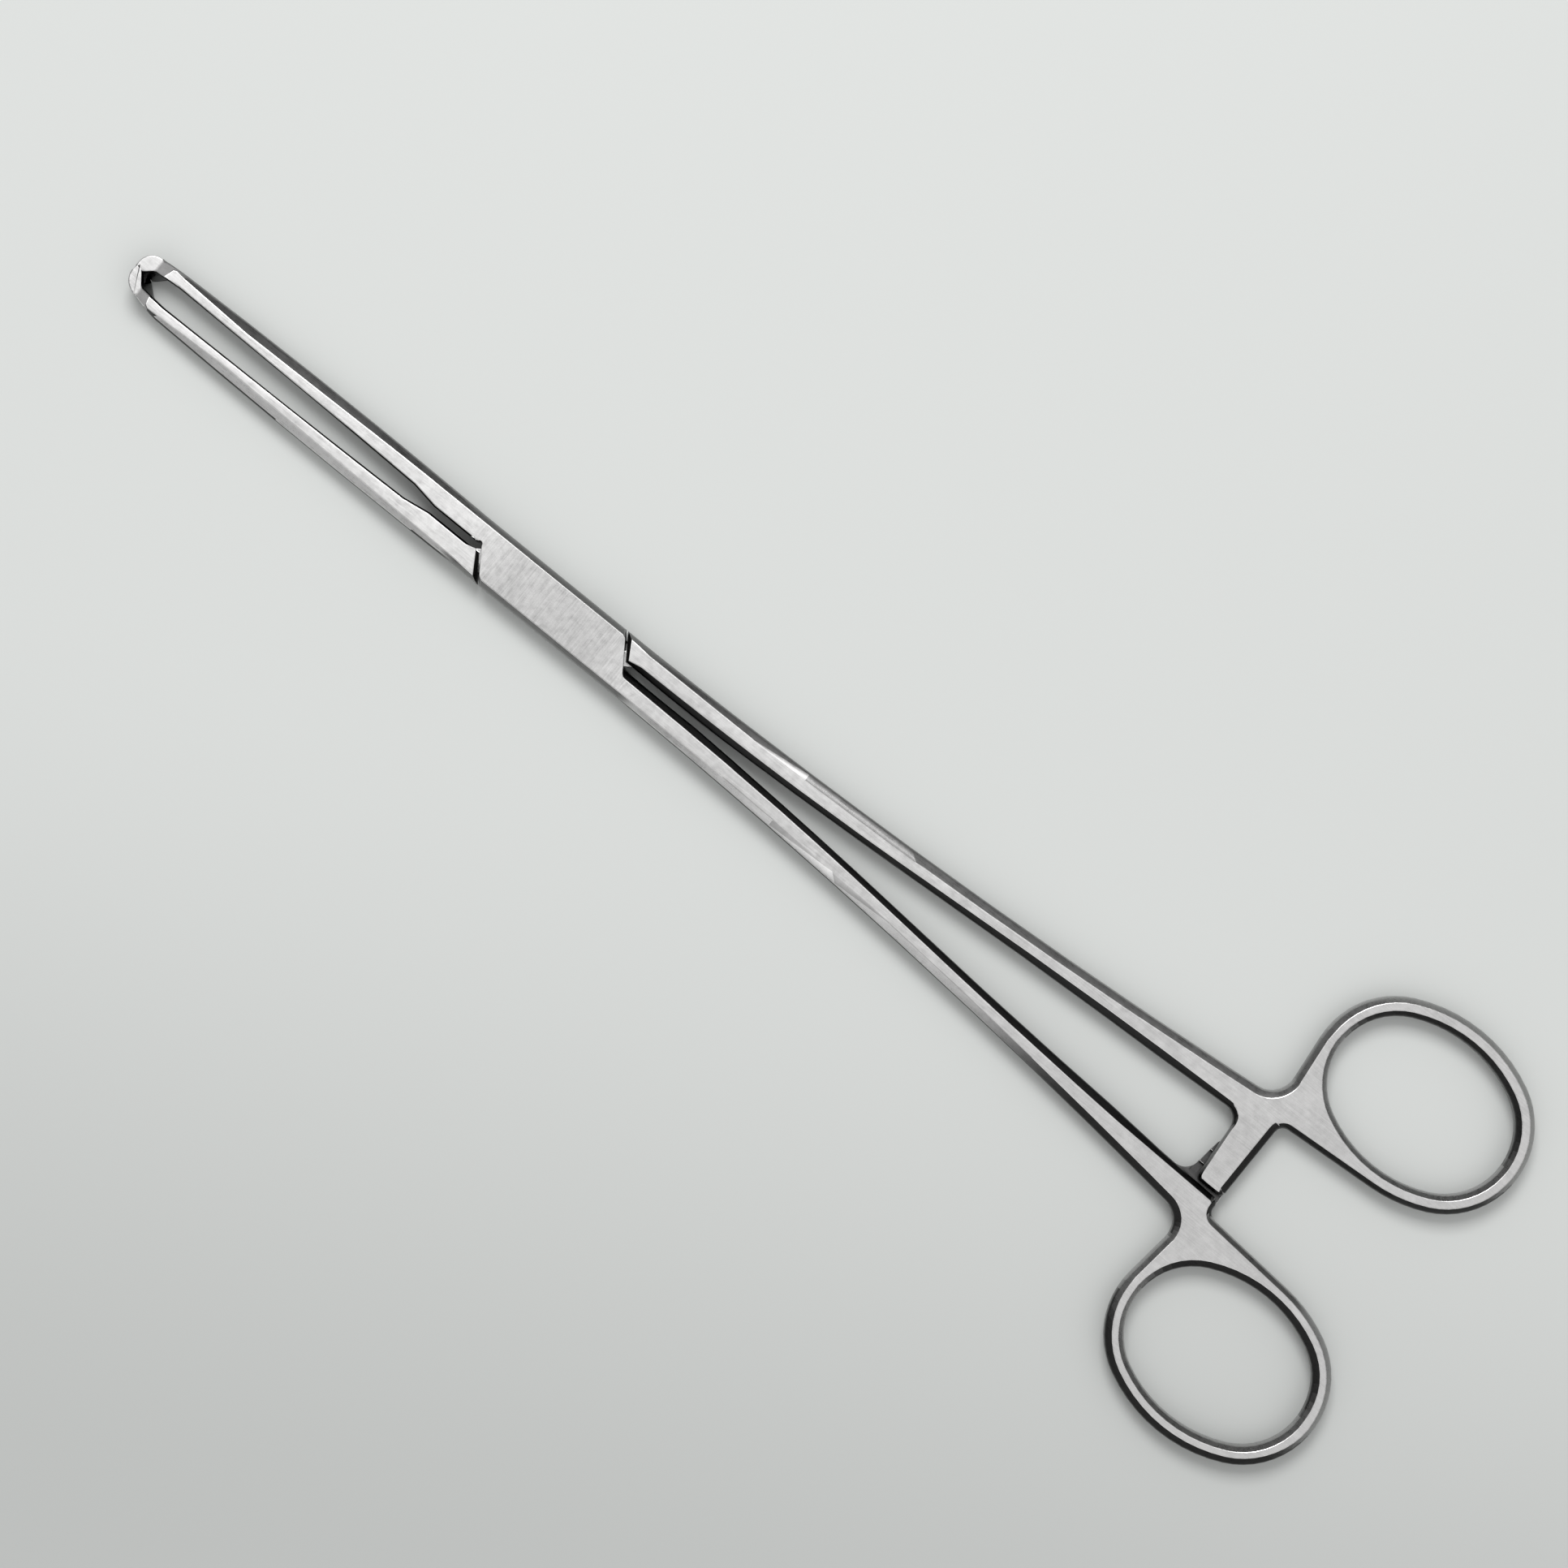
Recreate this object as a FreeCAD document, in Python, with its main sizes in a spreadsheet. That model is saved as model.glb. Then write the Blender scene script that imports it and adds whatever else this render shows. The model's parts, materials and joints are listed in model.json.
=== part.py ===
"""Long tissue forceps with windowed jaws, a box lock, a ratchet and two finger rings.

Frame: millimetres, the pivot axis is Z and the tips point along +X. The underside of the box
lies on z = 0. The photographed top is +Z, and one ring lies on each side of the XZ plane.
"""
import FreeCAD, Part
import math
import operator
import os

import Sketcher
from FreeCAD import Vector

SIZES = (
    ("tip_reach", 65.3, "pivot axis to the front of the tips"),
    ("box_tip_half", 2.7, "half-width of the tip on the box arm, at its rounded corner"),
    ("tongue_tip_half", 1.7, "half-width of the tip on the tongue arm"),
    ("tip_radius", 2.1, "rounding of the outer corner of a tip"),
    ("tip_fullness", 0.15, "bulge of the outer flank of a tip, as a share of its rise"),
    ("nib_land", 0.75, "length of the meeting faces of the tips"),
    ("nib_throat", 2.1, "front of the tips to the full depth behind the nibs"),
    ("throat_half", 1.2, "half-width of the window just behind the nibs"),
    ("jaw_taper", 5.7, "front of the tips to where the jaws start to taper"),
    ("jaw_front_width", 1.85, "width of a jaw there"),
    ("box_jaw_width", 2.45, "width of the jaw of the box arm, half-way along the window"),
    ("tongue_jaw_width", 2.36, "width of the jaw of the tongue arm, half-way along the window"),
    ("window_front_half", 1.47, "half-width of the window at the jaw front"),
    ("window_middle_half", 1.3, "half-width of the window half-way along"),
    ("window_back_half", 0.98, "half-width of the window at its rear"),
    ("window_close", 3.6, "length over which the window closes at its rear"),
    ("jaw_slit", 5.8, "length of the slit between the window and the box"),
    ("jaw_gap_half", 0.42, "half of the width of that slit"),
    ("tooth_depth", 0.5, "depth of the teeth on the tips"),
    ("tooth_gap", 0.08, "room between the closed teeth"),
    ("tip_teeth", 5.0, "teeth across a tip"),
    ("box_half_length", 11.07, "pivot axis to the box edges, on the centre line"),
    ("box_half_width", 3.58, "half-width of the box"),
    ("box_edge_angle", 55.5, "angle from the long axis to the oblique box edges"),
    ("box_run_out", 1.93, "box edge to where the arms have their own outline"),
    ("box_thickness", 4.6, "thickness of the box and of the tips"),
    ("shoulder_gap", 0.28, "room between the box edges and the shoulders"),
    ("relief_radius", 0.38, "round notch at the inner end of a box edge"),
    ("tongue_half_width", 2.2, "half-width of the tongue inside the box"),
    ("tongue_thickness", 1.6, "thickness of the tongue"),
    ("tongue_clearance", 0.05, "room round the tongue"),
    ("tongue_narrowing", 3.8, "length over which an end of the tongue narrows"),
    ("tongue_run_out", 0.93, "box edge to where the narrowing ends in the arm"),
    ("neck_room", 0.25, "room at the narrowing ends of the tongue"),
    ("opening_angle", 30.0, "travel from closed to the stop in the box"),
    ("pin_radius", 1.25, "radius of the rivet"),
    ("pin_clearance", 0.03, "running room round the rivet in the tongue"),
    ("shank_slit", 4.0, "length of the parallel slit between the shanks, beside the box"),
    ("shank_gap_half", 0.47, "half of the width of that slit"),
    ("shank_first_half", 1.22, "inner half-width a quarter of the way along the shanks"),
    ("shank_second_half", 2.45, "inner half-width half-way along the shanks"),
    ("shank_third_half", 3.72, "inner half-width three quarters of the way along"),
    ("shank_width", 2.72, "width of a shank half-way along"),
    ("root_length", 9.1, "length of the straight flank beside the ratchet leg"),
    ("root_rise", 0.32, "how far that flank leans outwards over its length"),
    ("crotch_inset", 1.1, "front of the ring to the outer crotch behind it"),
    ("crotch_rise", 1.4, "inner side of the ring to the outer crotch"),
    ("crotch_radius", 3.2, "fillet in that crotch"),
    ("leg_inset", 2.95, "front of the ring to the rear flank of the ratchet legs"),
    ("armpit_drop", 0.9, "inner side of the ring to the corner at the ratchet leg"),
    ("armpit_radius", 1.15, "fillet in that corner"),
    ("heel_drop", 2.1, "that corner to the inner corner of the ring root"),
    ("heel_radius", 0.9, "rounding of the inner corner of the ring root"),
    ("ring_back", 120.0, "pivot axis to the ring centres, along the axis"),
    ("ring_inside", 7.9, "centre plane to the inner side of the rings"),
    ("ring_half_length", 14.7, "outer half-length of a ring"),
    ("ring_half_width", 11.7, "outer half-width of a ring"),
    ("ring_flattening", 0.9, "outer half-width less the radius of the ends of a ring"),
    ("ring_wall", 2.4, "radial thickness of a ring"),
    ("shank_thickness_front", 3.7, "thickness of the shanks near the box"),
    ("handle_thickness", 3.4, "thickness of the rear shanks and the rings"),
    ("jaw_thickness", 3.0, "thickness of the jaws"),
    ("jaw_rise", 18.0, "length over which a jaw thickens up to the box"),
    ("shank_fall", 24.0, "length over which a shank thins down from the box"),
    ("tip_block", 2.3, "length of the full-height block at the tips"),
    ("tip_ramp", 1.2, "length of the ramp behind that block"),
    ("outer_bevel", 0.75, "bevel on outer edges"),
    ("loop_bevel", 0.75, "bevel round the finger loops"),
    ("window_bevel", 0.24, "bevel round the window"),
    ("box_leg_width", 5.1, "width of the lower ratchet leg at its root"),
    ("tongue_leg_width", 4.7, "width of the upper ratchet leg at its root"),
    ("leg_taper", 0.7, "how much narrower a ratchet leg is at its free end"),
    ("box_leg_reach", 1.2, "reach of the lower leg past the centre plane"),
    ("end_room", 0.4, "room between the end of the upper leg and the other shank"),
    ("leg_corner", 0.9, "rounding of the free corners of a leg"),
    ("leg_fillet", 2.0, "fillet between a leg and its shank"),
    ("ratchet_gap", 0.1, "room between the crests of the two ratchet legs"),
    ("ratchet_pitch", 1.9, "spacing of the ratchet teeth"),
    ("ratchet_depth", 0.6, "depth of the ratchet teeth"),
    ("ratchet_teeth", 3.0, "number of ratchet teeth on a leg"),
)

SIGNS = {"+": operator.add, "-": operator.sub, "*": operator.mul, "/": operator.truediv}


class Size:
    """A number from the sheet, together with the expression that gives it."""

    def __init__(self, number, text):
        self.number = number
        self.text = text

    def __add__(self, other):
        return combine(self, "+", other)

    def __radd__(self, other):
        return combine(other, "+", self)

    def __sub__(self, other):
        return combine(self, "-", other)

    def __rsub__(self, other):
        return combine(other, "-", self)

    def __mul__(self, other):
        return combine(self, "*", other)

    def __rmul__(self, other):
        return combine(other, "*", self)

    def __truediv__(self, other):
        return combine(self, "/", other)

    def __neg__(self):
        return combine(-1, "*", self)


def as_size(value):
    """Take a plain number as a size of its own."""
    return value if isinstance(value, Size) else Size(float(value), repr(float(value)))


def combine(left, sign, right):
    """Join two sizes, or a size and a number, with one sign."""
    left, right = as_size(left), as_size(right)
    return Size(SIGNS[sign](left.number, right.number), f"({left.text} {sign} {right.text})")


def root(value):
    """Square root of a size."""
    return Size(math.sqrt(value.number), f"sqrt({value.text})")


def sine(angle):
    """Sine of an angle in degrees."""
    return Size(math.sin(math.radians(angle.number)), f"sin({angle.text})")


def cosine(angle):
    """Cosine of an angle in degrees."""
    return Size(math.cos(math.radians(angle.number)), f"cos({angle.text})")


doc = FreeCAD.newDocument("TissueForceps")
sheet = doc.addObject("Spreadsheet::Sheet", "Sizes")
for row, (alias, number, meaning) in enumerate(SIZES, start=1):
    sheet.set(f"A{row}", alias.replace("_", " "))
    sheet.set(f"B{row}", str(number))
    sheet.setAlias(f"B{row}", alias)
    sheet.set(f"C{row}", meaning)
doc.recompute()


def size(alias):
    """Read one size from the sheet by its alias."""
    return Size(float(sheet.get(alias)), f"Sizes.{alias}")


def origin_feature(body, role):
    """Find an origin plane or axis of a body by its role."""
    return next(item for item in body.Origin.OriginFeatures if item.Role == role)


def unit(vector):
    """Give a copy of a vector with a length of one."""
    return Vector(vector).normalize()


class Side:
    """One side of an outline between two corners: straight, or an arc through a point."""

    def __init__(self, start, end, through):
        self.start = start
        self.end = end
        self.through = through
        self.arc = Part.Circle(start, through, end) if through else None
        self.left_turn = through is not None and (through - start).cross(end - through).z > 0

    def heading(self, point):
        """Direction of travel at a point of the side."""
        if self.arc is None:
            return unit(self.end - self.start)
        spoke = unit(point - self.arc.Center)
        return Vector(-spoke.y, spoke.x, 0) if self.left_turn else Vector(spoke.y, -spoke.x, 0)

    def curve(self, first, last):
        """Sketch geometry of the side, trimmed to the given ends."""
        if self.arc is None:
            return Part.LineSegment(first, last)
        return sketch_arc(self.arc.Center, self.arc.Radius, first, last, self.left_turn)


def sketch_arc(centre, radius, first, last, left_turn):
    """An arc in the sense that a sketch keeps: it always runs to the left."""
    start, end = (first, last) if left_turn else (last, first)
    spokes = [math.atan2(point.y - centre.y, point.x - centre.x) for point in (start, end)]
    circle = Part.Circle(centre, Vector(0, 0, 1), radius)
    return Part.ArcOfCircle(circle, spokes[0], spokes[1])


class Outline:
    """A closed outline in a sketch, whose corners are all bound to the sheet."""

    def __init__(self, body, name, role="XY_Plane", height=None):
        self.sketch = body.newObject("Sketcher::SketchObject", name)
        self.sketch.AttachmentSupport = [(origin_feature(body, role), "")]
        self.sketch.MapMode = "FlatFace"
        if height is not None:
            self.sketch.setExpression("AttachmentOffset.Base.z", height.text)
        self.corners = []
        self.constraints = []

    def corner(self, across, up, radius=None, through=None):
        """Add a corner, its rounding, and the point that the arc after it passes through."""
        self.corners.append((as_size(across), as_size(up), radius, through))

    def bind(self, geometry, position, across, up):
        """Tie a point of the sketch to its two sizes."""
        for kind, value in (("DistanceX", across), ("DistanceY", up)):
            value = as_size(value)
            rule = Sketcher.Constraint(kind, -1, 1, geometry, position, value.number)
            self.constraints.append((rule, value.text))

    def rule(self, *words):
        """Add a constraint that carries no size."""
        self.constraints.append((Sketcher.Constraint(*words), None))

    def mark(self, across, up, *geometries):
        """Add a construction point that lies on the given sides."""
        point = Vector(as_size(across).number, as_size(up).number, 0)
        index = self.sketch.addGeometry(Part.Point(point), True)
        self.bind(index, 1, across, up)
        for geometry in geometries:
            self.rule("PointOnObject", index, 1, geometry)

    def close(self):
        """Draw the sides and corners, tie them down and give back the sketch."""
        count = len(self.corners)
        points = [Vector(across.number, up.number, 0) for across, up, _, _ in self.corners]
        sides = []
        for index, (_, _, _, through) in enumerate(self.corners):
            middle = through and Vector(as_size(through[0]).number, as_size(through[1]).number, 0)
            sides.append(Side(points[index], points[(index + 1) % count], middle))
        starts, ends, centres, turns = list(points), list(points), {}, {}
        for index, (_, _, radius, _) in enumerate(self.corners):
            if radius is None:
                continue
            before = sides[index - 1].heading(points[index])
            after = sides[index].heading(points[index])
            turns[index] = before.cross(after).z > 0
            reach = radius.number * math.tan(before.getAngle(after) / 2)
            ends[index] = points[index] - before * reach
            starts[index] = points[index] + after * reach
            lateral = Vector(-before.y, before.x, 0) if turns[index] else Vector(before.y, -before.x, 0)
            centres[index] = ends[index] + lateral * radius.number
        drawn = []
        for index, side in enumerate(sides):
            curve = side.curve(starts[index], ends[(index + 1) % count])
            drawn.append(self.sketch.addGeometry(curve, False))
        for index, (across, up, radius, through) in enumerate(self.corners):
            before, after = drawn[index - 1], drawn[index]
            last = 1 if sides[index - 1].arc and not sides[index - 1].left_turn else 2
            first = 2 if sides[index].arc and not sides[index].left_turn else 1
            if radius is None:
                self.rule("Coincident", before, last, after, first)
                self.bind(after, first, across, up)
            else:
                arc = sketch_arc(centres[index], radius.number, ends[index], starts[index], turns[index])
                bend = self.sketch.addGeometry(arc, False)
                entry, leave = (1, 2) if turns[index] else (2, 1)
                self.rule("Tangent", before, last, bend, entry)
                self.rule("Tangent", bend, leave, after, first)
                rounding = Sketcher.Constraint("Radius", bend, radius.number)
                self.constraints.append((rounding, radius.text))
                self.mark(across, up, before, after)
            if through:
                self.mark(through[0], through[1], after)
        indexes = self.sketch.addConstraint([rule for rule, _ in self.constraints])
        for index, (_, text) in zip(indexes, self.constraints):
            if text:
                self.sketch.setExpression(f"Constraints[{index}]", text)
        return self.sketch


def pad(body, name, sketch, length, symmetric=True, downwards=False):
    """Raise a sketch into a solid."""
    feature = body.newObject("PartDesign::Pad", name)
    feature.Profile = sketch
    feature.SideType = "Symmetric" if symmetric else "One side"
    feature.Reversed = downwards
    feature.setExpression("Length", length.text)
    body.Tip = feature
    return feature


def pocket(body, name, sketch, length=None):
    """Cut a sketch out of the solid, to both sides of the sketch plane."""
    feature = body.newObject("PartDesign::Pocket", name)
    feature.Profile = sketch
    feature.SideType = "Symmetric"
    if length is None:
        feature.Type = "ThroughAll"
    else:
        feature.setExpression("Length", length.text)
    body.Tip = feature
    return feature


def circle_sketch(body, name, across, up, radius):
    """A circle on the plane of the underside."""
    sketch = body.newObject("Sketcher::SketchObject", name)
    sketch.AttachmentSupport = [(origin_feature(body, "XY_Plane"), "")]
    sketch.MapMode = "FlatFace"
    across, up = as_size(across), as_size(up)
    centre = Vector(across.number, up.number, 0)
    sketch.addGeometry(Part.Circle(centre, Vector(0, 0, 1), radius.number), False)
    sketch.addConstraint([
        Sketcher.Constraint("DistanceX", -1, 1, 0, 3, across.number),
        Sketcher.Constraint("DistanceY", -1, 1, 0, 3, up.number),
        Sketcher.Constraint("Radius", 0, radius.number),
    ])
    for index, value in enumerate((across, up, radius)):
        sketch.setExpression(f"Constraints[{index}]", value.text)
    return sketch


def round_pocket(body, name, across, up, radius):
    """Cut a round hole straight through along Z."""
    return pocket(body, name, circle_sketch(body, f"{name}Circle", across, up, radius))


MIDDLE = size("box_thickness") / 2
CONTACT_HALF = (size("tooth_depth") - size("tooth_gap")) / 2
JAW_FRONT = size("tip_reach") - size("jaw_taper")
JAW_BACK = size("box_half_length") + size("box_run_out")
WINDOW_END = JAW_BACK + size("jaw_slit")
WINDOW_BACK = WINDOW_END + size("window_close")
RING_FRONT = size("ring_half_length") - size("ring_back")
RING_INSIDE = size("ring_inside")
RING_SIDE = RING_INSIDE + size("ring_half_width")
RING_END_RADIUS = size("ring_half_width") - size("ring_flattening")
LEG_REAR = RING_FRONT - size("leg_inset")
ARMPIT_HALF = RING_INSIDE - size("armpit_drop")
HEEL_HALF = ARMPIT_HALF - size("heel_drop")
ROOT_FRONT = LEG_REAR + size("root_length")
ROOT_HALF = HEEL_HALF - size("root_rise")
SHANK_FRONT = -(JAW_BACK + size("shank_slit"))
SHANK_MIDDLE = (SHANK_FRONT + ROOT_FRONT) / 2


def box_edge(up, gap=None):
    """Place along X of a box edge, or of the shoulder beside it, at a height on the plan."""
    slope = cosine(size("box_edge_angle")) / sine(size("box_edge_angle"))
    place = size("box_half_length") - up * slope
    return place if gap is None else place + gap / sine(size("box_edge_angle"))


def jaw(body, side, tip_half, middle_width, root_corners):
    """One jaw as a flat blank; side is +1 or -1, and its root is closed by the given corners."""
    outline = Outline(body, "JawOutline", height=MIDDLE)
    reach = size("tip_reach")
    front_half = size("window_front_half") + size("jaw_front_width")
    middle_half = size("window_middle_half") + middle_width
    widest = ((JAW_FRONT + JAW_BACK) / 2, side * middle_half)
    window_middle = ((JAW_FRONT + WINDOW_BACK) / 2, side * size("window_middle_half"))
    side_half = tip_half + (front_half - tip_half) * (size("tip_fullness") + 0.5)
    tip_side = ((reach + JAW_FRONT) / 2, side * side_half)
    outline.corner(reach, -side * CONTACT_HALF)
    outline.corner(reach, side * tip_half, radius=size("tip_radius"), through=tip_side)
    outline.corner(JAW_FRONT, side * front_half, through=widest)
    outline.corner(JAW_BACK, side * size("box_half_width"))
    for across, up in root_corners:
        outline.corner(across, side * up)
    outline.corner(WINDOW_END, side * size("jaw_gap_half"))
    outline.corner(WINDOW_BACK, side * size("window_back_half"), through=window_middle)
    outline.corner(JAW_FRONT, side * size("window_front_half"))
    outline.corner(reach - size("nib_throat"), side * size("throat_half"))
    outline.corner(reach - size("nib_land"), -side * CONTACT_HALF)
    pad(body, "Jaw", outline.close(), size("box_thickness"))


def ring_oval(body, name, side, inset):
    """Closed oval of four tangent arcs; inset is taken off all round."""
    sketch = body.newObject("Sketcher::SketchObject", name)
    sketch.AttachmentSupport = [(origin_feature(body, "XY_Plane"), "")]
    sketch.MapMode = "FlatFace"
    sketch.setExpression("AttachmentOffset.Base.z", MIDDLE.text)
    centre_x, centre_y = -size("ring_back"), side * RING_SIDE
    end_radius, flank_radius = RING_END_RADIUS - inset, ring_flank_radius() - inset
    spread = size("ring_half_length") - RING_END_RADIUS
    depth = ring_flank_radius() - size("ring_half_width")
    lean = math.atan2(depth.number, spread.number)
    half_turn = math.pi
    rules = []
    arcs = (
        (centre_x + spread, centre_y, end_radius, -lean, lean),
        (centre_x, centre_y - depth, flank_radius, lean, half_turn - lean),
        (centre_x - spread, centre_y, end_radius, half_turn - lean, half_turn + lean),
        (centre_x, centre_y + depth, flank_radius, half_turn + lean, 2 * half_turn - lean),
    )
    for across, up, radius, first, last in arcs:
        circle = Part.Circle(Vector(across.number, up.number, 0), Vector(0, 0, 1), radius.number)
        index = sketch.addGeometry(Part.ArcOfCircle(circle, first, last), False)
        places = (("DistanceX", across), ("DistanceY", up)) if index < 3 else (("DistanceY", up),)
        for kind, value in places:
            rules.append((Sketcher.Constraint(kind, -1, 1, index, 3, value.number), value.text))
    rules.append((Sketcher.Constraint("Radius", 0, end_radius.number), end_radius.text))
    for index in range(4):
        rules.append((Sketcher.Constraint("Tangent", index, 2, (index + 1) % 4, 1), None))
    sketch.addConstraint([rule for rule, _ in rules])
    for index, (_, text) in enumerate(rules):
        if text:
            sketch.setExpression(f"Constraints[{index}]", text)
    return sketch


def ring_flank_radius():
    """Radius of the flatter arcs of a ring, from its length, width and end radius."""
    spread, half_width = size("ring_half_length") - RING_END_RADIUS, size("ring_half_width")
    squares = spread * spread + half_width * half_width - RING_END_RADIUS * RING_END_RADIUS
    return squares / (2 * size("ring_flattening"))


def tangent_point(start, centre, radius, turn):
    """Where a line from a point touches a circle; turn is +1 or -1."""
    run, rise = centre[0] - start[0], centre[1] - start[1]
    distance = run * run + rise * rise
    reach = root(distance - radius * radius)
    share = reach / distance
    across = start[0] + share * (reach * run - turn * radius * rise)
    up = start[1] + share * (reach * rise + turn * radius * run)
    return across, up


def handle(body, side, root_corners):
    """Shank, ring root and ring of one arm; side is +1 or -1."""
    crotch = (RING_FRONT - size("crotch_inset"), RING_INSIDE + size("crotch_rise"))
    armpit = (LEG_REAR, ARMPIT_HALF)
    spread = size("ring_half_length") - RING_END_RADIUS
    end_centre = (spread - size("ring_back"), RING_SIDE)
    depth = ring_flank_radius() - size("ring_half_width")
    flank_centre = (-size("ring_back"), RING_SIDE + depth)
    front_touch = tangent_point(crotch, end_centre, RING_END_RADIUS, -1)
    rear_touch = tangent_point(armpit, flank_centre, ring_flank_radius(), 1)
    outer_half = size("shank_second_half") + size("shank_width")
    outer = (SHANK_MIDDLE, side * outer_half)
    third = ((SHANK_MIDDLE + ROOT_FRONT) / 2, side * size("shank_third_half"))
    first = ((SHANK_MIDDLE + SHANK_FRONT) / 2, side * size("shank_first_half"))
    outline = Outline(body, "ShankOutline", height=MIDDLE)
    outline.corner(-JAW_BACK, side * size("box_half_width"), through=outer)
    outline.corner(crotch[0], side * crotch[1], radius=size("crotch_radius"))
    outline.corner(front_touch[0], side * front_touch[1])
    outline.corner(rear_touch[0], side * rear_touch[1])
    outline.corner(LEG_REAR, side * ARMPIT_HALF, radius=size("armpit_radius"))
    outline.corner(LEG_REAR, side * HEEL_HALF, radius=size("heel_radius"))
    outline.corner(ROOT_FRONT, side * ROOT_HALF, through=third)
    outline.corner(SHANK_MIDDLE, side * size("shank_second_half"), through=first)
    outline.corner(SHANK_FRONT, side * size("shank_gap_half"))
    for across, up in root_corners:
        outline.corner(across, side * up)
    pad(body, "Shank", outline.close(), size("box_thickness"))
    pad(body, "Ring", ring_oval(body, "RingOutline", side, as_size(0)), size("box_thickness"))


def ratchet_leg(body, side, width, reach):
    """Ratchet leg of one arm: the lower one for side +1, the upper one for side -1."""
    front = LEG_REAR + width
    flank = ROOT_HALF + (HEEL_HALF - ROOT_HALF) * (ROOT_FRONT - front) / size("root_length")
    buried = (ROOT_HALF + ARMPIT_HALF) / 2
    outline = Outline(body, "LegOutline", height=MIDDLE - side * size("ratchet_gap") / 2)
    outline.corner(ROOT_FRONT, side * buried)
    outline.corner(ROOT_FRONT, side * ROOT_HALF)
    outline.corner(front, side * flank, radius=size("leg_fillet"))
    outline.corner(front - size("leg_taper"), -side * reach, radius=size("leg_corner"))
    outline.corner(LEG_REAR, -side * reach, radius=size("leg_corner"))
    outline.corner(LEG_REAR, side * buried)
    thickness = (size("handle_thickness") - size("ratchet_gap")) / 2
    pad(body, "Leg", outline.close(), thickness, symmetric=False, downwards=side > 0)


def thin_profile(body):
    """Grind the arms thinner than the box, seen from the side, on the top and the underside."""
    jaw_half, handle_half = size("jaw_thickness") / 2, size("handle_thickness") / 2
    front_half = size("shank_thickness_front") / 2
    block_back = size("tip_reach") - size("tip_block")
    clear = size("box_thickness")
    far_back = -(size("ring_back") + size("ring_half_length") + clear)
    for name, way in (("Top", 1), ("Under", -1)):
        outline = Outline(body, f"{name}Profile", role="XZ_Plane")
        outline.corner(JAW_BACK, MIDDLE + way * MIDDLE)
        outline.corner(JAW_BACK + size("jaw_rise"), MIDDLE + way * jaw_half)
        outline.corner(block_back - size("tip_ramp"), MIDDLE + way * jaw_half)
        outline.corner(block_back, MIDDLE + way * MIDDLE)
        outline.corner(block_back, MIDDLE + way * clear)
        outline.corner(JAW_BACK, MIDDLE + way * clear)
        pocket(body, f"{name}JawRelief", outline.close())
        outline = Outline(body, f"{name}RearProfile", role="XZ_Plane")
        outline.corner(-JAW_BACK, MIDDLE + way * MIDDLE)
        outline.corner(-JAW_BACK - size("shank_fall"), MIDDLE + way * front_half)
        outline.corner(ROOT_FRONT, MIDDLE + way * handle_half)
        outline.corner(far_back, MIDDLE + way * handle_half)
        outline.corner(far_back, MIDDLE + way * clear)
        outline.corner(-JAW_BACK, MIDDLE + way * clear)
        pocket(body, f"{name}ShankRelief", outline.close())


UPRIGHT_LIFT = 0.1
LEVEL_LIFT = 0.6


def rim_edges(shape, chosen):
    """Names of the edges between a flank and a top or underside that the rule chooses."""
    names = []
    for index, edge in enumerate(shape.Edges, start=1):
        faces = shape.ancestorsOfType(edge, Part.Face)
        middle = edge.valueAt((edge.FirstParameter + edge.LastParameter) / 2)
        lifts = sorted(abs(face.normalAt(*face.Surface.parameter(middle)).z) for face in faces)
        if len(lifts) != 2 or not chosen(middle):
            continue
        if lifts[0] < UPRIGHT_LIFT and lifts[1] > LEVEL_LIFT:
            names.append(f"Edge{index}")
    return names


def bevel(body, name, length, chosen):
    """Bevel the rim edges that the rule chooses."""
    doc.recompute()
    base = body.Tip
    feature = body.newObject("PartDesign::Chamfer", name)
    feature.Base = (base, rim_edges(base.Shape, chosen))
    feature.setExpression("Size", length.text)
    body.Tip = feature


def bevel_rims(body, side):
    """Bevel the outer flanks, the finger loop and the window of one arm."""
    jaw_back, jaw_front = JAW_BACK.number, JAW_FRONT.number
    ramp_back = (size("tip_reach") - size("tip_block") - size("tip_ramp")).number
    mid_jaw = (size("window_front_half") + size("jaw_front_width") / 2).number
    mid_box = (size("box_half_width") / 2).number
    loop_length = (size("ring_half_length") - size("ring_wall") / 2).number
    loop_width = (size("ring_half_width") - size("ring_wall") / 2).number
    ring_back, ring_side = size("ring_back").number, side * RING_SIDE.number

    def in_loop(point):
        length = (point.x + ring_back) / loop_length
        width = (point.y - ring_side) / loop_width
        return length * length + width * width < 1

    def on_flank(point):
        inside = abs(point.z - MIDDLE.number) < size("ratchet_gap").number
        if inside or in_loop(point):
            return False
        if point.x > jaw_back:
            return point.x < ramp_back and abs(point.y) > mid_jaw
        return point.x < -jaw_back or abs(point.y) > mid_box

    def on_window(point):
        return jaw_back < point.x < jaw_front and abs(point.y) < mid_jaw

    bevel(body, "FlankBevel", size("outer_bevel"), on_flank)
    bevel(body, "LoopBevel", size("loop_bevel"), in_loop)
    bevel(body, "WindowBevel", size("window_bevel"), on_window)


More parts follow.
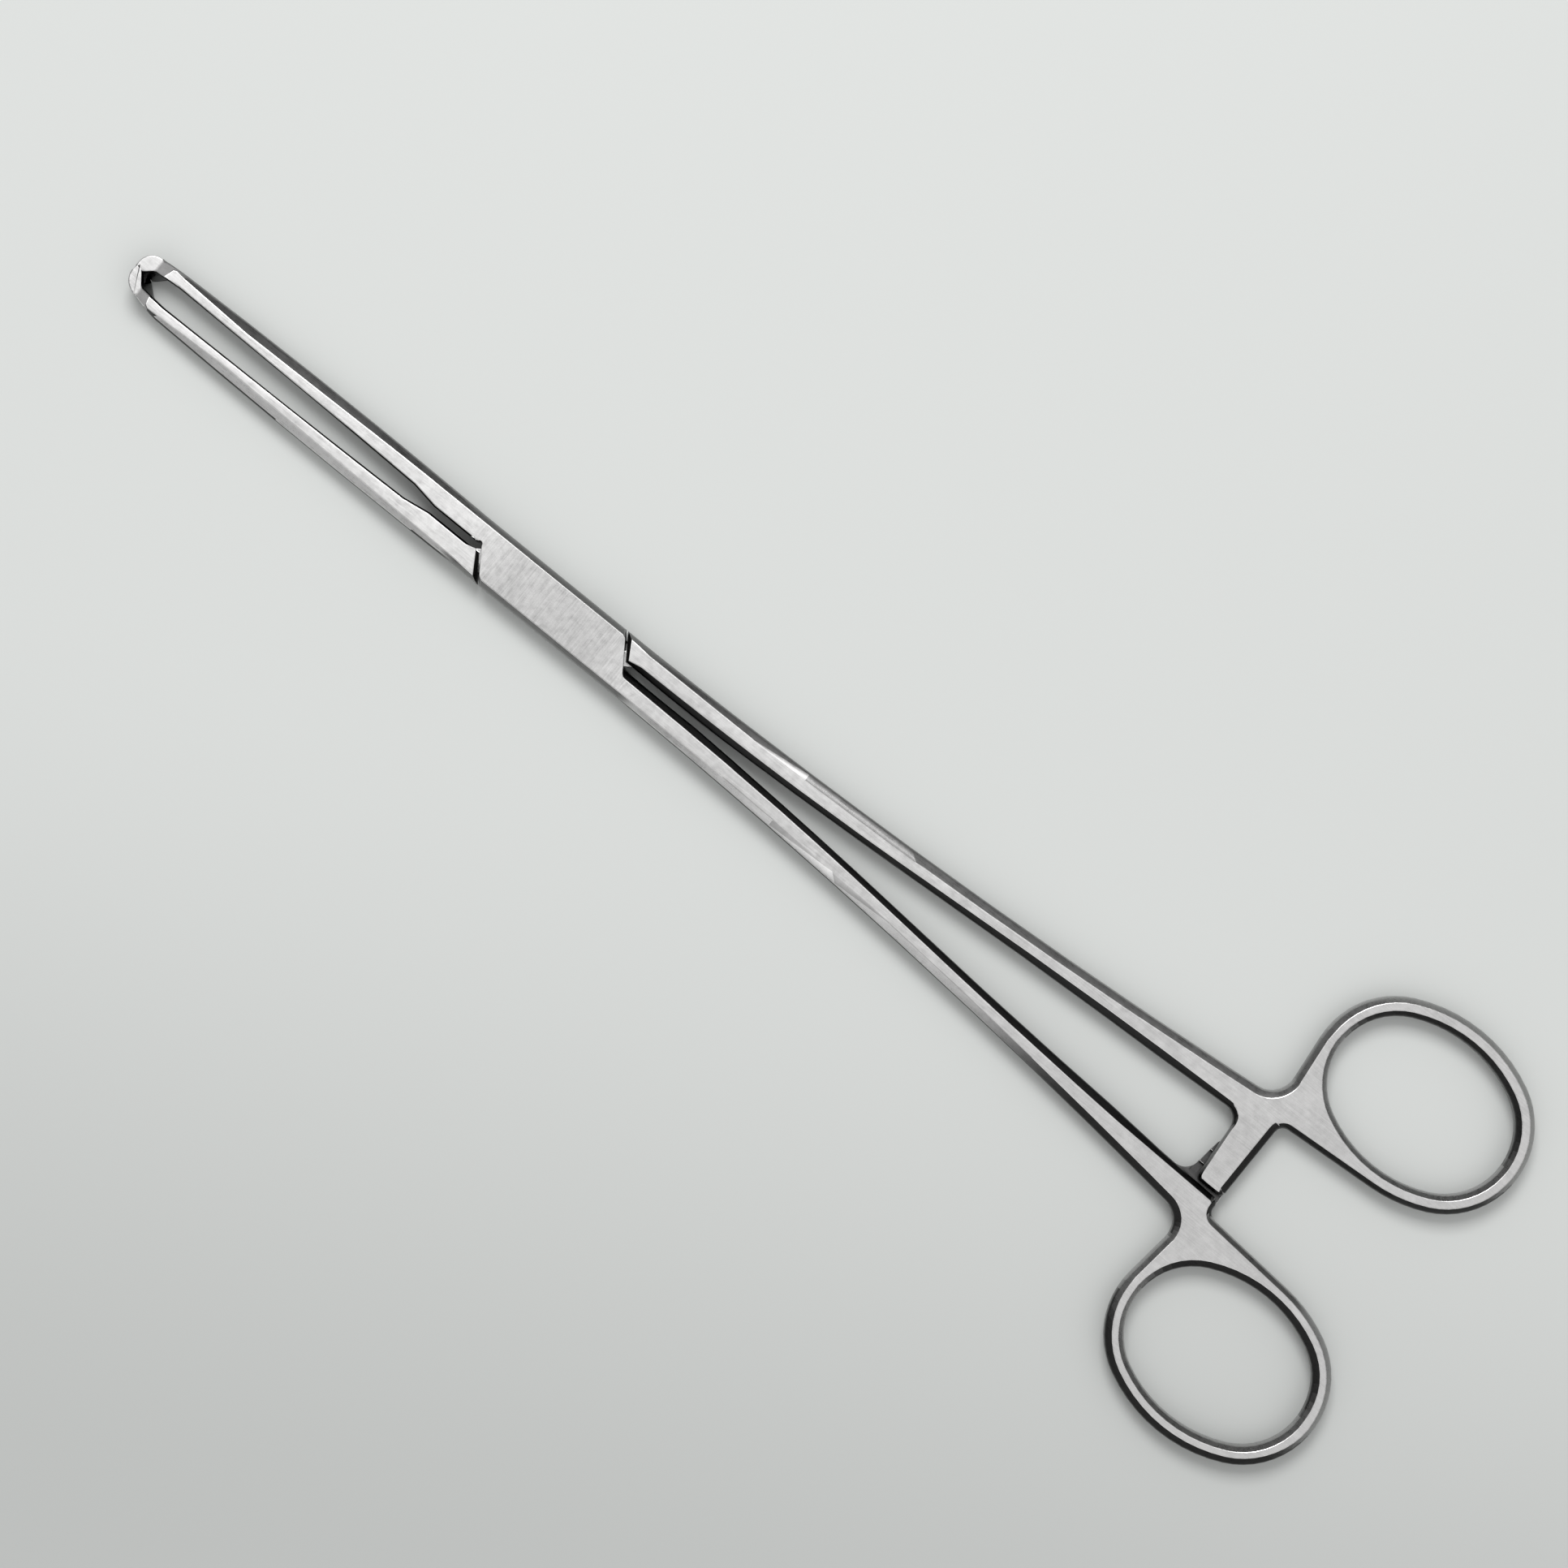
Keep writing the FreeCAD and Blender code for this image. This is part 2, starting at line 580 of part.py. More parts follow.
def tip_teeth(body, side):
    """Row of teeth along Z on the meeting face of one tip."""
    count = int(size("tip_teeth").number)
    pitch = size("box_thickness") / size("tip_teeth")
    face, reach = side * CONTACT_HALF, size("tip_reach")
    start = as_size(0) if side > 0 else -pitch / 2
    outline = Outline(body, "ToothOutline", role="YZ_Plane", height=reach)
    outline.corner(-face, start)
    outline.corner(-face + side * size("tooth_depth"), start + pitch / 2)
    outline.corner(-face, start + pitch)
    outline.corner(-face - side * size("tooth_gap"), start + pitch)
    outline.corner(-face - side * size("tooth_gap"), start)
    groove = pocket(body, "ToothGroove", outline.close(), 2 * size("nib_throat"))
    pattern = body.newObject("PartDesign::LinearPattern", "ToothRow")
    pattern.Originals = [groove]
    pattern.Direction = (origin_feature(body, "Z_Axis"), [""])
    pattern.Occurrences = count if side > 0 else count + 1
    spread = pitch * (pattern.Occurrences - 1)
    pattern.setExpression("Length", spread.text)
    body.Tip = pattern


def ratchet_teeth(body, side, width, reach):
    """Row of saw teeth across one ratchet leg, on the face that meets the other leg."""
    pitch, proud = size("ratchet_pitch"), side * size("ratchet_gap") / 4
    crest = MIDDLE - side * size("ratchet_gap") / 2
    floor = crest - side * size("ratchet_depth")
    start = -side * reach
    outline = Outline(body, "SawOutline", role="YZ_Plane", height=LEG_REAR + width / 2)
    outline.corner(start, crest + proud)
    outline.corner(start, floor)
    outline.corner(start + side * pitch, crest + proud)
    groove = pocket(body, "SawGroove", outline.close(), width + size("ratchet_gap"))
    row = body.newObject("PartDesign::LinearPattern", "SawRow")
    row.Originals = [groove]
    row.Direction = (origin_feature(body, "Y_Axis"), [""])
    row.Reversed = side < 0
    row.Occurrences = int(size("ratchet_teeth").number)
    row.setExpression("Length", (pitch * (row.Occurrences - 1)).text)
    body.Tip = row


def new_body(label):
    """Start a sub-part under its own name."""
    body = doc.addObject("PartDesign::Body", label.title().replace("_", ""))
    body.Label = label
    return body


def box_arm():
    """Arm that carries the box: its jaw is at -Y, its shank and ring at +Y."""
    body = new_body("box_arm")
    half_width = size("box_half_width")
    jaw_gap, shank_gap = size("jaw_gap_half"), size("shank_gap_half")
    outline = Outline(body, "BoxOutline", height=MIDDLE)
    outline.corner(box_edge(half_width), half_width)
    outline.corner(box_edge(-jaw_gap), -jaw_gap)
    outline.corner(JAW_BACK, -jaw_gap)
    outline.corner(JAW_BACK, -half_width)
    outline.corner(-box_edge(half_width), -half_width)
    outline.corner(-box_edge(-shank_gap), shank_gap)
    outline.corner(-JAW_BACK, shank_gap)
    outline.corner(-JAW_BACK, half_width)
    pad(body, "Box", outline.close(), size("box_thickness"))
    jaw(body, -1, size("box_tip_half"), size("box_jaw_width"), [(JAW_BACK, jaw_gap)])
    handle(body, 1, [(-JAW_BACK, shank_gap)])
    ratchet_leg(body, 1, size("box_leg_width"), size("box_leg_reach"))
    pocket(body, "FingerLoop", ring_oval(body, "LoopOutline", 1, size("ring_wall")))
    thin_profile(body)
    bevel_rims(body, 1)
    box_slot(body)
    notch = box_edge(-jaw_gap) + size("relief_radius")
    round_pocket(body, "ReliefNotch", notch, -jaw_gap, size("relief_radius"))
    round_pocket(body, "CheekBore", 0, 0, size("pin_radius"))
    tip_teeth(body, -1)
    ratchet_teeth(body, 1, size("box_leg_width"), size("box_leg_reach"))
    return body


def box_slot(body):
    """Slot between the cheeks, as wide as the tongue sweeps from closed to fully open."""
    reach = size("tongue_half_width") + size("tongue_clearance")
    half_angle = size("opening_angle") / 2
    outside = size("box_half_width") + size("shoulder_gap")
    apex = reach * sine(half_angle) / cosine(half_angle)
    stop = (outside * cosine(2 * half_angle) - reach) / sine(2 * half_angle)
    neck = size("box_half_length") + size("tongue_run_out") + size("neck_room")
    shoulder = neck - size("tongue_narrowing")
    outline = Outline(body, "SlotOutline", height=MIDDLE)
    for way, inner in ((1, size("jaw_gap_half")), (-1, size("shank_gap_half"))):
        outline.corner(way * apex, -way * reach)
        outline.corner(way * shoulder, -way * reach)
        outline.corner(way * neck, way * inner)
        outline.corner(way * neck, way * outside)
        outline.corner(way * stop, way * outside)
    thickness = size("tongue_thickness") + 2 * size("tongue_clearance")
    pocket(body, "Slot", outline.close(), thickness)


def tongue_plate(body):
    """Thin tongue through the box: a strip that narrows on one side at each end."""
    neck = size("box_half_length") + size("tongue_run_out")
    shoulder, far = neck - size("tongue_narrowing"), neck + size("shoulder_gap")
    half_width = size("tongue_half_width")
    outline = Outline(body, "TongueOutline", height=MIDDLE)
    for way, inner in ((1, size("jaw_gap_half")), (-1, size("shank_gap_half"))):
        outline.corner(way * shoulder, -way * half_width)
        outline.corner(way * neck, way * inner)
        outline.corner(way * far, way * inner)
        outline.corner(way * far, way * half_width)
    pad(body, "Tongue", outline.close(), size("tongue_thickness"))


def tongue_arm():
    """Arm with the tongue: its jaw is at +Y, its shank and ring at -Y."""
    body = new_body("tongue_arm")
    tongue_plate(body)
    half_width, gap = size("box_half_width"), size("shoulder_gap")
    jaw_gap, shank_gap = size("jaw_gap_half"), size("shank_gap_half")
    jaw_root = [(box_edge(half_width, gap), half_width), (box_edge(jaw_gap, gap), jaw_gap)]
    shank_root = [(-box_edge(shank_gap, gap), shank_gap), (-box_edge(half_width, gap), half_width)]
    reach = HEEL_HALF - size("end_room")
    jaw(body, 1, size("tongue_tip_half"), size("tongue_jaw_width"), jaw_root)
    handle(body, -1, shank_root)
    ratchet_leg(body, -1, size("tongue_leg_width"), reach)
    pocket(body, "FingerLoop", ring_oval(body, "LoopOutline", -1, size("ring_wall")))
    thin_profile(body)
    bevel_rims(body, -1)
    round_pocket(body, "TongueBore", 0, 0, size("pin_radius") + size("pin_clearance"))
    tip_teeth(body, 1)
    ratchet_teeth(body, -1, size("tongue_leg_width"), reach)
    return body


def pivot_pin():
    """Headless rivet, as long as the box is thick, so that both ends lie flush."""
    body = new_body("pivot_pin")
    sketch = circle_sketch(body, "PinCircle", 0, 0, size("pin_radius"))
    pad(body, "Rivet", sketch, size("box_thickness"), symmetric=False)
    return body


parts = (box_arm(), tongue_arm(), pivot_pin())
doc.recompute()
for item in doc.Objects:
    if "Invalid" in item.State or "Error" in item.State:
        raise RuntimeError(f"{item.Label} failed: {item.State}")
for part in parts:
    if part.Shape.isNull() or not part.Shape.isValid():
        raise RuntimeError(f"{part.Label} has no valid shape")
os.makedirs("parts", exist_ok=True)
for part in parts:
    part.Shape.exportStep(f"parts/{part.Label}.step")
    solids, volume = len(part.Shape.Solids), part.Shape.Volume
    print(f"{part.Label}: {solids} solid, {volume:.1f} mm3")
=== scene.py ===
"""Tissue forceps in satin steel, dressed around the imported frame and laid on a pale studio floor.

Places are in metres. The pivot axis is Z, the tips point along +X, the underside of the box lies
on z = 0 and one ring lies on each side of the XZ plane. Sizes are written in millimetres times MM.
"""
from __future__ import annotations

import json
import logging
import math
from collections.abc import Callable, Iterable, Mapping
from dataclasses import dataclass, field
from enum import Enum
from typing import Any

import bmesh
import bpy
from mathutils import Matrix, Vector

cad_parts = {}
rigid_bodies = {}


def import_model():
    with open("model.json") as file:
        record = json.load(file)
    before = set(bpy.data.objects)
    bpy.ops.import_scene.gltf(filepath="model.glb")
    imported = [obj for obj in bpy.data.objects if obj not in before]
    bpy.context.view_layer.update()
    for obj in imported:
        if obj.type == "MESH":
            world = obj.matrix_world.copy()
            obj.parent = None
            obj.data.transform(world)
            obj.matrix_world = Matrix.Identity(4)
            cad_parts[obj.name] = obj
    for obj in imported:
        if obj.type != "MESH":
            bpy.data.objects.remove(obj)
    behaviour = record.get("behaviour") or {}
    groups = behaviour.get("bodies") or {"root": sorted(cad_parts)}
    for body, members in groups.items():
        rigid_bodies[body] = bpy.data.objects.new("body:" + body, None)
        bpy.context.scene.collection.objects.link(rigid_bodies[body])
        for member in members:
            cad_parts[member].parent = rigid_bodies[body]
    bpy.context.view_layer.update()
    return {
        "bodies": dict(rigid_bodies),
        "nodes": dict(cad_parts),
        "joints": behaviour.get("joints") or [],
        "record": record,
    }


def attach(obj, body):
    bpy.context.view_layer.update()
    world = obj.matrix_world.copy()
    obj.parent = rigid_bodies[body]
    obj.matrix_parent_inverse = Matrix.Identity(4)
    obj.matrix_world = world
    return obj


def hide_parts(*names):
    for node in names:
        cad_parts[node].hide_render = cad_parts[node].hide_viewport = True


MM = 0.001
LOG = logging.getLogger("tissue_forceps")
WHITE = (1.0, 1.0, 1.0, 1.0)
IMAGE_UP = Vector((0.628, -0.778, 0.0))
CREST = "crest"


class Finish(Enum):
    """Finishes of the steel; each value names the material and the input of the finish rule. The crest finish
    is a painted highlight, the recess finish is painted shade, and the flank's grey holds painted reflection
    and shade.
    """

    SATIN = "satin_top"
    BRUSHED = "brushed_box"
    # Bevels and flanks, whose grey holds painted reflection, painted sheen and painted shade.
    FLANK = "flank_painted_shade_and_sheen"
    # Painted highlight on the thin crest faces.
    CREST_HIGHLIGHT = "painted_crest_highlight"
    # Painted shade on up-facing faces low in the recesses, such as the lower ratchet leg.
    RECESS_SHADE = "painted_recess_shade"


class Mark(Enum):
    """Numbers that the finish rule leaves on each face, from which the flank's steel places its painted shade
    and painted sheen.
    """

    FACING = "facing"
    INNER = "inner"
    FOOT = "foot"


def ease(value: float, low: float, high: float) -> float:
    """Rise smoothly from 0 at low to 1 at high."""
    share = min(max((value - low) / (high - low), 0.0), 1.0)
    return share * share * (3 - 2 * share)


def blend(start: float, end: float, share: float) -> float:
    """Go from one number to another by a share."""
    return start + (end - start) * share


class Graph:
    """Builds one node tree: of a material, of the world or of a modifier."""

    def __init__(self, tree: bpy.types.NodeTree) -> None:
        """Empty the tree and keep it."""
        tree.nodes.clear()
        self.tree = tree

    def node(
        self, kind: str, settings: Mapping[str, Any] | None = None, inputs: Mapping[Any, Any] | None = None
    ) -> bpy.types.Node:
        """Add one node.

        Args:
            kind: The node's type, as Blender names it.
            settings: Its properties, such as a Math node's operation, which are set first.
            inputs: Values, signals or sockets, by the input's name or number.

        Returns:
            The new node.
        """
        made = self.tree.nodes.new(kind)
        for name, value in (settings or {}).items():
            setattr(made, name, value)
        for name, value in (inputs or {}).items():
            self.feed(made.inputs[name], value)
        return made

    def feed(self, socket: bpy.types.NodeSocket, value: Any) -> None:
        """Link a signal or socket into an input, or set the input's own value."""
        if isinstance(value, Signal):
            value = value.socket
        if isinstance(value, bpy.types.NodeSocket):
            self.tree.links.new(value, socket)
        else:
            socket.default_value = value

    def signal(self, kind: str, output: Any, settings: Any = None, inputs: Any = None) -> Signal:
        """Add one node and give one of its outputs as a signal.

        Args:
            kind: The node's type.
            output: Name or number of the output.
            settings: As for node().
            inputs: As for node().

        Returns:
            The output, ready for arithmetic.
        """
        return Signal(self, self.node(kind, settings, inputs).outputs[output])

    def axes(self, vector: Any) -> tuple[Signal, Signal, Signal]:
        """Split a vector into its three numbers."""
        split = self.node("ShaderNodeSeparateXYZ", None, {0: vector})
        return Signal(self, split.outputs[0]), Signal(self, split.outputs[1]), Signal(self, split.outputs[2])


class Signal:
    """A number that varies over a surface, written in sums as if it were a plain number."""

    def __init__(self, graph: Graph, socket: bpy.types.NodeSocket) -> None:
        """Wrap one socket of a graph."""
        self.graph = graph
        self.socket = socket

    def math(self, operation: str, left: Any, right: Any = 0.0) -> Signal:
        """Add one Math node on two numbers or signals."""
        return self.graph.signal("ShaderNodeMath", 0, {"operation": operation}, {0: left, 1: right})

    def __add__(self, other: Any) -> Signal:
        """Sum."""
        return self.math("ADD", self, other)

    def __radd__(self, other: Any) -> Signal:
        """Sum with a plain number on the left."""
        return self.math("ADD", other, self)

    def __sub__(self, other: Any) -> Signal:
        """Difference."""
        return self.math("SUBTRACT", self, other)

    def __rsub__(self, other: Any) -> Signal:
        """Difference from a plain number."""
        return self.math("SUBTRACT", other, self)

    def __mul__(self, other: Any) -> Signal:
        """Product."""
        return self.math("MULTIPLY", self, other)

    def __rmul__(self, other: Any) -> Signal:
        """Product with a plain number on the left."""
        return self.math("MULTIPLY", other, self)

    def size(self) -> Signal:
        """Size of the number without its sign."""
        return self.math("ABSOLUTE", self)

    def sign(self) -> Signal:
        """Minus one, zero or one."""
        return self.math("SIGN", self)

    def above(self, limit: Any) -> Signal:
        """Give 1 where the number is above the limit, else 0."""
        return self.math("GREATER_THAN", self, limit)

    def between(self, low: float, high: float) -> Signal:
        """Rise smoothly from 0 at low to 1 at high."""
        settings = {"interpolation_type": "SMOOTHSTEP"}
        inputs = {"Value": self, "From Min": low, "From Max": high}
        return self.graph.signal("ShaderNodeMapRange", "Result", settings, inputs)


@dataclass(frozen=True)
class Steel:
    """Satin stainless steel: its grey, its gloss, its cloudy polish and its grinding lines."""

    finish: Finish
    level: float = 0.60
    warmth: float = 0.006
    roughness: float = 0.36
    cloud: float = 0.07
    cloud_size: float = 5.0 * MM
    mottle: float = 0.10
    mottle_size: float = 0.9 * MM
    speckle: float = 0.06
    speckle_size: float = 0.16 * MM
    grain: float = 0.05
    grain_length: float = 4.0 * MM
    grain_width: float = 0.12 * MM
    across: bool = False
    bump: float = 0.12
    bump_depth: float = 0.01 * MM
    gloss_spread: float = 0.2
    cloud_detail: float = 2.0
    mottle_detail: float = 3.0
    speckle_detail: float = 1.0
    grain_detail: float = 4.0
    noise_roughness: float = 0.55
    noise_middle: float = 0.5
    noise_gain: float = 3.2

    def material(self) -> bpy.types.Material:
        """Build the material.

        Returns:
            A node material that reads object coordinates only.
        """
        made = bpy.data.materials.new(self.finish.value)
        made.use_nodes = True
        graph = Graph(made.node_tree)
        place = graph.node("ShaderNodeTexCoord").outputs["Object"]
        cloud = self.noise(graph, place, (1 / self.cloud_size,) * 3, self.cloud_detail)
        mottle = self.noise(graph, place, (1 / self.mottle_size,) * 3, self.mottle_detail)
        speckle = self.noise(graph, place, (1 / self.speckle_size,) * 3, self.speckle_detail)
        along, wide = 1 / self.grain_length, 1 / self.grain_width
        lines = (wide, along, wide) if self.across else (along, wide, wide)
        grain = self.noise(graph, place, lines, self.grain_detail)
        tone = self.cloud * cloud + self.mottle * mottle + self.speckle * speckle + self.grain * grain
        shade = self.base(graph, place) * (1 + tone)
        colour = graph.node("ShaderNodeCombineColor", None, {
            "Red": shade * (1 + self.warmth), "Green": shade, "Blue": shade * (1 - self.warmth),
        })
        bump = graph.node("ShaderNodeBump", None, {
            "Strength": self.bump, "Distance": self.bump_depth, "Height": mottle + speckle + grain,
        })
        surface = graph.node("ShaderNodeBsdfPrincipled", None, {
            "Base Color": colour.outputs[0], "Metallic": 1.0, "Normal": bump.outputs[0],
            "Roughness": self.roughness * (1 + self.gloss_spread * mottle + self.gloss_spread * grain),
        })
        graph.node("ShaderNodeOutputMaterial", None, {"Surface": surface.outputs[0]})
        return made

    def base(self, graph: Graph, place: Any) -> Any:
        """Grey of the steel before its clouds and lines; the same everywhere on this finish."""
        return self.level

    def noise(self, graph: Graph, place: Any, scale: Iterable[float], detail: float) -> Signal:
        """Add noise from about -1 to 1 on the object's coordinates.

        Args:
            graph: Where the nodes go.
            place: The object's coordinates.
            scale: How closely the noise is packed along each axis.
            detail: How many finer layers it has.

        Returns:
            The noise, centred on zero.
        """
        mapped = graph.node("ShaderNodeMapping", None, {"Vector": place, "Scale": tuple(scale)})
        raw = graph.signal("ShaderNodeTexNoise", 0, None, {
            "Vector": mapped.outputs[0], "Scale": 1.0, "Detail": detail, "Roughness": self.noise_roughness,
        })
        return (raw - self.noise_middle) * self.noise_gain


@dataclass(frozen=True)
class Flank(Steel):
    """Steel of the bevels and flanks: its own clouds and lines over a grey painted by the way each face
    looks, dark grey as a painted reflection of the dim room, a painted light sheen on outer bevels that face
    away from the panel, and painted near-black shade inside and behind.
    """

    # Greys of the painted reflection on the rings' bevels, of the painted sheen and of the painted shade.
    ring_level: float = 0.36
    painted_sheen_level: float = 0.74
    painted_shade_level: float = 0.045
    facing_span: tuple[float, float] = (-0.10, 0.45)
    ring_span: tuple[float, float] = (-92 * MM, -62 * MM)
    box_span: tuple[float, float] = (12.6 * MM, 15.5 * MM)
    side_span: tuple[float, float] = (0.0, 1.0 * MM)

    def base(self, graph: Graph, place: Any) -> Any:
        """Grey that follows the arm: painted sheen on the outer bevels that face away from the panel, beyond
        the box and up to the ratchet, and painted shade on the inner flanks, on the feet that face away and
        on the rings' bevels that face away.
        """
        along, aside, _ = graph.axes(place)
        facing, inner, foot = (
            graph.signal("ShaderNodeAttribute", "Fac", {"attribute_name": mark.value}) for mark in Mark
        )
        away = facing.between(*self.facing_span)
        ring = 1 - along.between(*self.ring_span)
        span = along.size().between(*self.box_span)
        # Painted sheen: lighter grey on the +Y outer bevels that face away from the panel, beyond the box,
        # short of the rings and above their feet.
        soft = away * aside.between(*self.side_span) * (1 - foot) * span * (1 - ring)
        # Painted shade: near black on the inner flanks, on the feet that face away from the panel and on the
        # rings' bevels that face away.
        painted_shade = (inner + away * foot * span + away * ring).between(0.0, 1.0)
        level = self.level + (self.ring_level - self.level) * ring + (self.painted_sheen_level - self.level) * soft
        return level * (1 - painted_shade) + self.painted_shade_level * painted_shade


@dataclass(frozen=True)
class BoxSteel(Steel):
    """Steel of the box, ground across and passing softly into the satin of the jaws and shanks."""

    end_level: float = 0.45
    soft_start: float = 6.0 * MM
    soft_end: float = 12.8 * MM

    def base(self, graph: Graph, place: Any) -> Any:
        """Grey that rises to that of the satin at both ends of the box."""
        along = graph.axes(place)[0].size()
        return self.level + (self.end_level - self.level) * along.between(self.soft_start, self.soft_end)


@dataclass(frozen=True)
class FinishRule:
    """Gives each face its finish from the way it looks and from where it lies: it paints a highlight on
    crests and shade in recesses, and marks where the flank paints its shade and sheen.
    """

    level: float = 0.93
    crest: float = 0.80
    foot: float = 0.62
    inward: float = 0.25
    rear: float = 0.40
    box_reach: float = 11.3 * MM
    shoulder_reach: float = 12.8 * MM
    inner_reach: float = 7.0 * MM
    root_place: float = -104.5 * MM
    tip_place: float = 60.5 * MM
    middle: float = 2.9 * MM

    def apply(self, piece: bpy.types.Object, steels: Mapping[Finish, bpy.types.Material]) -> None:
        """Finish a piece and leave it as a plain mesh.

        Args:
            piece: The piece, whose mesh is replaced by the finished one.
            steels: The material of each finish.
        """
        tree = bpy.data.node_groups.new("finish_rule", "GeometryNodeTree")
        tree.is_modifier = True
        wanted: dict[str, Any] = {
            "Level": self.level, "Crest": self.crest, "Foot": self.foot, "Inward": self.inward,
            "Rear": self.rear, "Box Reach": self.box_reach, "Shoulder Reach": self.shoulder_reach,
            "Inner Reach": self.inner_reach, "Root Place": self.root_place,
            "Tip Place": self.tip_place, "Middle": self.middle,
        }
        tree.interface.new_socket("Geometry", in_out="OUTPUT", socket_type="NodeSocketGeometry")
        tree.interface.new_socket("Geometry", in_out="INPUT", socket_type="NodeSocketGeometry")
        identifiers = {
            name: tree.interface.new_socket(name, in_out="INPUT", socket_type="NodeSocketFloat").identifier
            for name in wanted
        }
        for finish, steel in steels.items():
            socket = tree.interface.new_socket(finish.value, in_out="INPUT", socket_type="NodeSocketMaterial")
            identifiers[finish.value] = socket.identifier
            wanted[finish.value] = steel
        self.wire(Graph(tree))
        rule = piece.modifiers.new("finish_rule", "NODES")
        rule.node_group = tree
        for name, identifier in identifiers.items():
            rule[identifier] = wanted[name]
        finished = piece.evaluated_get(bpy.context.evaluated_depsgraph_get())
        mesh = bpy.data.meshes.new_from_object(finished)
        mesh.name = f"{piece.name}_mesh"
        piece.modifiers.remove(rule)
        piece.data = mesh

    @staticmethod
    def wire(graph: Graph) -> None:
        """Join the nodes: each finish is laid over the one before it, where its rule holds."""
        given = graph.node("NodeGroupInput").outputs
        look_x, look_y, look_z = graph.axes(graph.node("GeometryNodeInputNormal").outputs[0])
        place_x, place_y, place_z = graph.axes(graph.node("GeometryNodeInputPosition").outputs[0])
        lift = look_z.size()
        level = lift.above(given["Level"])
        in_box = 1.0 - place_x.size().above(given["Box Reach"])
        near_box = 1.0 - place_x.size().above(given["Shoulder Reach"])
        shoulder = near_box * look_x.size().above(given["Inward"])
        inward = (0.0 - look_y * place_y.sign()).above(given["Inward"]) * (1.0 - shoulder)
        middle = 1.0 - place_y.size().above(given["Inner Reach"])
        front = place_x.above(given["Root Place"])
        behind_leg = (0.0 - look_x).above(given["Rear"]) * middle * (1.0 - front)
        at_tip = place_x.above(given["Tip Place"])
        ramp = at_tip * (0.0 - look_x).above(given["Inward"]) * lift.above(given["Foot"])
        # Up-facing faces below the middle height lie in the recesses and get painted shade.
        deep = look_z.above(given["Level"]) * (1.0 - place_z.above(given["Middle"]))
        # These marks place the flank's painted shade and sheen: the way a face looks along Y, the inner
        # flanks with the flank behind the leg, and the steep feet.
        marks = (
            (Mark.FACING, look_y), (Mark.INNER, inward * middle * front + behind_leg),
            (Mark.FOOT, 1.0 - lift.above(given["Foot"])),
        )
        broken = graph.signal("GeometryNodeInputNamedAttribute", 0, {"data_type": "FLOAT"}, {"Name": CREST})
        # The crest slivers get a painted highlight; up-facing faces low in the recesses get painted shade.
        layers = (
            (Finish.FLANK, 1.0 - level), (Finish.CREST_HIGHLIGHT, broken * lift.above(given["Crest"])),
            (Finish.SATIN, level), (Finish.SATIN, ramp),
            (Finish.BRUSHED, level * in_box), (Finish.RECESS_SHADE, deep),
        )
        shape: Any = graph.node("GeometryNodeRealizeInstances", None, {0: given["Geometry"]}).outputs[0]
        for mark, number in marks:
            shape = graph.node(
                "GeometryNodeStoreNamedAttribute", {"data_type": "FLOAT", "domain": "FACE"},
                {"Geometry": shape, "Name": mark.value, "Value": number},
            ).outputs[0]
        for finish, chosen in layers:
            shape = graph.node("GeometryNodeSetMaterial", None, {
                "Geometry": shape, "Selection": chosen, "Material": given[finish.value],
            }).outputs[0]
        graph.node("NodeGroupOutput", None, {"Geometry": shape})


